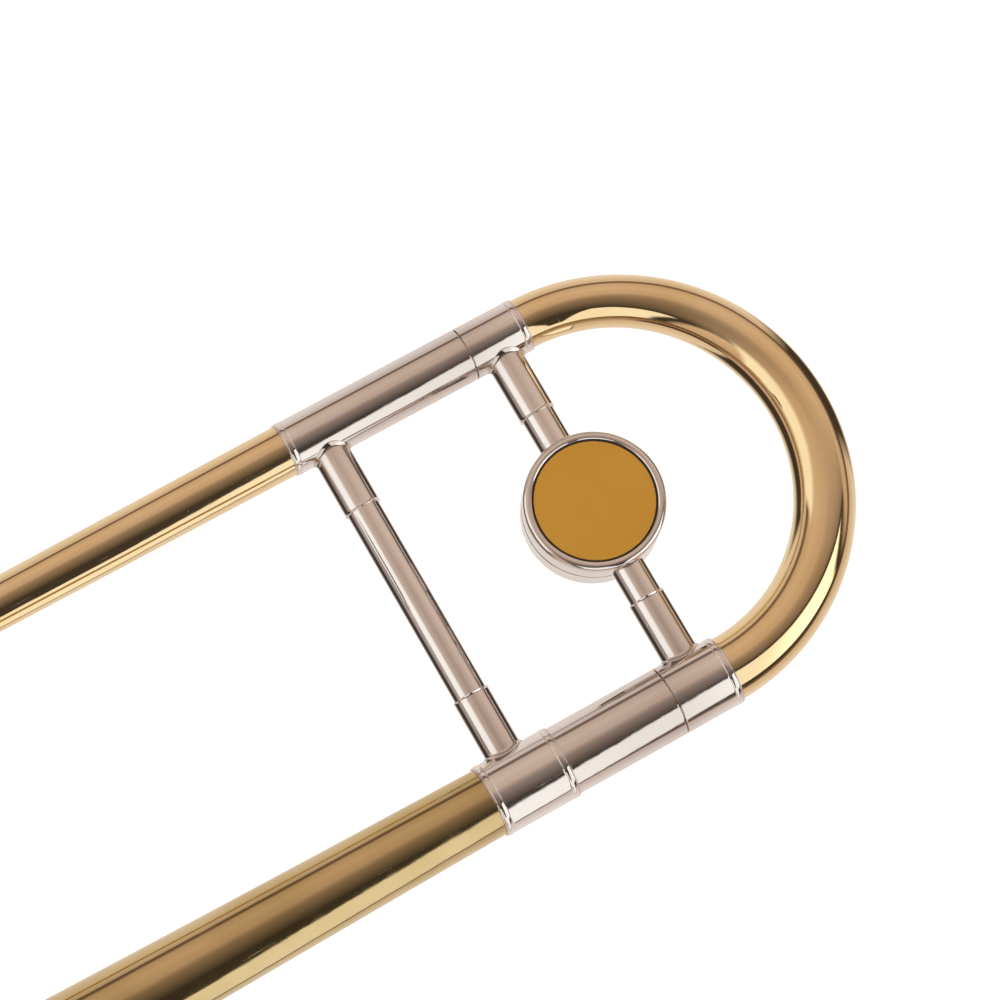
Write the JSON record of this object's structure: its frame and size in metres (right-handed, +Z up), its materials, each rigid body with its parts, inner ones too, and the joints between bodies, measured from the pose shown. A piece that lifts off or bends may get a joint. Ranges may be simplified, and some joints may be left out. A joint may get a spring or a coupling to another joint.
{
  "type": "tenor trombone",
  "caption": "Straight tenor trombone with a sliding outer hand slide, a pull-out tuning slide with a round balance weight, a swivelling bell section and a sprung water key.",
  "frame": {"origin": "on the axis of the lower slide tube, at the front face of the bell tenon's flange, where the left hand holds the instrument", "axes": "+X the way the bell points, along the slide tubes; +Y from the neckpipe to the bell; +Z up, from the lower slide tube to the mouthpiece's tube"},
  "size_m": [1.1657, 0.2388, 0.2068],
  "materials": {
    "lacquered_brass": "polished and clear lacquered",
    "nickel_silver": "polished nickel silver",
    "chrome": "hard chrome plated",
    "cork": "cork and felt",
    "rubber": "matt moulded",
    "steel": "bright steel"
  },
  "bodies": {
    "inner_slide": {"slide_bell_receiver": "nickel_silver", "mouthpiece_receiver": "nickel_silver", "leadpipe": "lacquered_brass", "upper_inner_tube": "chrome", "lower_inner_tube": "chrome", "upper_cork_barrel": "nickel_silver", "lower_cork_barrel": "nickel_silver", "upper_slide_cork": "cork", "lower_slide_cork": "cork", "inner_brace": "nickel_silver"},
    "bell_section": {"bell_stem": "lacquered_brass", "bell_flare": "lacquered_brass", "bell_rim_wire": "steel", "bell_ferrule": "nickel_silver", "bell_side_receiver": "nickel_silver", "neckpipe": "lacquered_brass", "neck_side_receiver": "nickel_silver", "rear_brace_rod": "nickel_silver", "rear_brace_neck_socket": "nickel_silver", "rear_brace_bell_socket": "nickel_silver", "front_brace_rod": "nickel_silver", "front_brace_neck_sleeve": "nickel_silver", "front_brace_neck_socket": "nickel_silver", "front_brace_bell_foot": "nickel_silver", "bell_tenon": "nickel_silver", "nut_keeper_ring": "nickel_silver"},
    "lock_nut": {"bell_lock_nut": "nickel_silver"},
    "tuning_slide": {"tuning_bow": "lacquered_brass", "neck_side_ferrule": "nickel_silver", "bell_side_ferrule": "nickel_silver", "neck_side_leg": "nickel_silver", "bell_side_leg": "nickel_silver", "neck_side_strut_socket": "nickel_silver", "bell_side_strut_socket": "nickel_silver", "neck_side_strut": "nickel_silver", "bell_side_strut": "nickel_silver", "weight_upper_half": "nickel_silver", "weight_lower_half": "nickel_silver", "weight_upper_inlay": "lacquered_brass", "weight_lower_inlay": "lacquered_brass", "weight_screw": "steel"},
    "slide_lock": {"slide_lock_ring": "nickel_silver"},
    "outer_slide": {"upper_outer_tube": "lacquered_brass", "lower_outer_tube": "lacquered_brass", "upper_top_sleeve": "nickel_silver", "lower_top_sleeve": "nickel_silver", "outer_brace": "nickel_silver", "slide_bow": "lacquered_brass", "upper_bow_sleeve": "nickel_silver", "lower_bow_sleeve": "nickel_silver", "bumper_holder": "nickel_silver", "bumper_tip": "rubber", "water_key_nipple": "nickel_silver", "water_key_saddle": "nickel_silver", "water_key_screw": "steel"},
    "water_key": {"water_key_lever": "nickel_silver", "water_key_cork": "cork", "water_key_spring": "steel"},
    "mouthpiece_body": {"mouthpiece": "nickel_silver"}
  },
  "joints": [
    {"name": "bell_section_swivel", "type": "hinge", "parent": "inner_slide", "child": "bell_section", "pos_m": [0, 0, 0], "axis": [1, 0, 0], "range_deg": [-90, 20]},
    {"name": "lock_nut_turn", "type": "hinge", "parent": "bell_section", "child": "lock_nut", "pos_m": [0, 0, 0], "axis": [1, 0, 0], "range_deg": [0, 540]},
    {"name": "tuning_slide_pull", "type": "slide", "parent": "bell_section", "child": "tuning_slide", "axis": [-1, 0, 0], "range_m": [0, 0.035]},
    {"name": "slide_lock_turn", "type": "hinge", "parent": "inner_slide", "child": "slide_lock", "pos_m": [0.1043, 0, 0], "axis": [1, 0, 0], "range_deg": [0, 18]},
    {"name": "hand_slide", "type": "slide", "parent": "inner_slide", "child": "outer_slide", "axis": [1, 0, 0], "range_m": [0, 0.565]},
    {"name": "water_key_press", "type": "hinge", "parent": "outer_slide", "child": "water_key", "pos_m": [0.6721, 0, -0.0136], "axis": [0, 1, 0], "range_deg": [0, 15], "stiffness_Nm_per_rad": 0.03, "springref_deg": -28.65},
    {"name": "mouthpiece_pull", "type": "slide", "parent": "inner_slide", "child": "mouthpiece_body", "axis": [-1, 0, 0], "range_m": [0, 0.03]}
  ]
}
